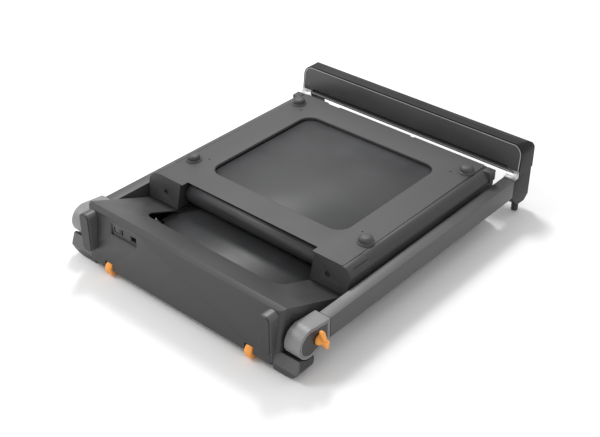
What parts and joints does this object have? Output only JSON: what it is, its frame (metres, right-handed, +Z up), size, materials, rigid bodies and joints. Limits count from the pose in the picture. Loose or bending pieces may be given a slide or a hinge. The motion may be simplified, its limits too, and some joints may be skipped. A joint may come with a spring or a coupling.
{
  "type": "walking pad",
  "caption": "Folding walking pad with two-section running deck, folding handrail, transport wheels and powered front roller, stored folded flat.",
  "frame": {"origin": "middle of the folded outline, on the floor", "axes": "+X right seen from the motor end, +Y from the motor end to the console, +Z up"},
  "size_m": [0.772, 0.934, 0.203],
  "materials": {
    "painted_steel": "satin",
    "pan_grey": "fine matt powder coat",
    "rail_grey": "satin powder coat",
    "cap_grey": "fine grain",
    "board_wood": "dark film on fibreboard",
    "rubber_black": "matt",
    "belt_fabric": "fine woven back, matt",
    "hood_grey": "fine grain",
    "foot_grey": "satin",
    "dark_steel": "satin black",
    "gloss_black": "semi gloss",
    "bumper_grey": "satin",
    "plated_steel": "zinc plated",
    "orange_plastic": "satin",
    "turned_steel": "turned",
    "board_green": "solder mask with heat sink",
    "post_paint": "satin powder coat",
    "housing_metal": "metallic satin paint",
    "cover_dark": "satin",
    "console_dark": "fine grain",
    "console_grey": "fine grain"
  },
  "bodies": {
    "base": {"front_pan": "painted_steel", "front_side_rail_left": "rail_grey", "front_side_rail_right": "rail_grey", "front_running_board": "board_wood", "front_cross_tubes": "painted_steel", "front_feet": "rubber_black", "front_belt": "belt_fabric", "motor_hood": "hood_grey", "hood_screws": "dark_steel", "power_panel": "gloss_black", "power_inlet": "gloss_black", "bumper_left": "bumper_grey", "bumper_right": "bumper_grey", "bumper_pad_left": "rubber_black", "bumper_pad_right": "rubber_black", "corner_foot_left": "foot_grey", "corner_foot_right": "foot_grey", "pivot_bracket_left": "plated_steel", "pivot_bracket_right": "plated_steel", "wheel_axles": "turned_steel", "front_roller_axle": "turned_steel", "motor": "dark_steel", "drive_belt": "rubber_black", "motor_controller": "board_green", "front_hinge_brackets": "plated_steel", "lower_hinge_pins": "turned_steel"},
    "power_rocker": {"rocker_switch": "gloss_black"},
    "wheel_left": {"transport_wheel_left": "orange_plastic"},
    "wheel_right": {"transport_wheel_right": "orange_plastic"},
    "drive_roller": {"front_roller": "turned_steel"},
    "motor_rotor": {"motor_pulley": "turned_steel"},
    "tail_roller": {"rear_roller": "turned_steel"},
    "fold_link": {"hinge_link_left": "plated_steel", "hinge_link_right": "plated_steel", "upper_hinge_pins": "turned_steel", "fold_belt": "belt_fabric"},
    "rear_deck": {"rear_pan": "pan_grey", "rear_side_rail_left": "rail_grey", "rear_side_rail_right": "rail_grey", "rear_running_board": "board_wood", "rear_cross_tubes": "painted_steel", "rear_feet": "rubber_black", "rear_belt": "belt_fabric", "rear_roller_axle": "turned_steel", "end_cap_left": "cap_grey", "end_cap_right": "cap_grey", "belt_tension_bolts": "turned_steel", "rear_hinge_brackets": "plated_steel"},
    "handrail": {"post_left": "post_paint", "post_right": "post_paint", "pivot_housing_left": "housing_metal", "pivot_housing_right": "housing_metal", "pivot_cover_left": "cover_dark", "pivot_cover_right": "cover_dark", "console_shell": "console_dark", "console_panel": "console_grey", "console_brackets": "plated_steel", "console_feet": "rubber_black"},
    "knob_left": {"wing_knob_left": "orange_plastic"},
    "knob_right": {"wing_knob_right": "orange_plastic"}
  },
  "joints": [
    {"name": "handrail_raise", "type": "hinge", "parent": "base", "child": "handrail", "pos_m": [0, -0.404, 0.086], "axis": [1, 0, 0], "range_deg": [0, 90]},
    {"name": "fold_link_turn", "type": "hinge", "parent": "base", "child": "fold_link", "pos_m": [0, 0.326, 0.062], "axis": [-1, 0, 0], "range_deg": [0, 90], "deforming": ["fold_belt"]},
    {"name": "deck_unfold", "type": "hinge", "parent": "fold_link", "child": "rear_deck", "pos_m": [0, 0.326, 0.108], "axis": [-1, 0, 0], "range_deg": [0, 90]},
    {"name": "drive_roller_turn", "type": "hinge", "parent": "base", "child": "drive_roller", "pos_m": [0, -0.317, 0.0515], "axis": [1, 0, 0], "continuous": true},
    {"name": "motor_turn", "type": "hinge", "parent": "base", "child": "motor_rotor", "pos_m": [0, -0.391, 0.0545], "axis": [1, 0, 0], "continuous": true},
    {"name": "tail_roller_turn", "type": "hinge", "parent": "rear_deck", "child": "tail_roller", "pos_m": [0, -0.1865, 0.1185], "axis": [1, 0, 0], "continuous": true},
    {"name": "wheel_left_turn", "type": "hinge", "parent": "base", "child": "wheel_left", "pos_m": [-0.2275, -0.441, 0.021], "axis": [1, 0, 0], "continuous": true},
    {"name": "wheel_right_turn", "type": "hinge", "parent": "base", "child": "wheel_right", "pos_m": [0.2275, -0.441, 0.021], "axis": [1, 0, 0], "continuous": true},
    {"name": "knob_left_turn", "type": "hinge", "parent": "handrail", "child": "knob_left", "pos_m": [-0.37, -0.379, 0.084], "axis": [-1, 0, 0], "range_deg": [0, 180]},
    {"name": "knob_right_turn", "type": "hinge", "parent": "handrail", "child": "knob_right", "pos_m": [0.36, -0.379, 0.084], "axis": [1, 0, 0], "range_deg": [0, 180]},
    {"name": "power_rocker_press", "type": "hinge", "parent": "base", "child": "power_rocker", "pos_m": [-0.196, -0.43098, 0.135], "axis": [0, 0, 1], "range_deg": [0, 14]}
  ],
  "couplings": [
    {"joint": "fold_link_turn", "follows": "handrail_raise", "ratio": 1},
    {"joint": "motor_turn", "follows": "drive_roller_turn", "ratio": 1.9649},
    {"joint": "tail_roller_turn", "follows": "drive_roller_turn", "ratio": -1}
  ]
}
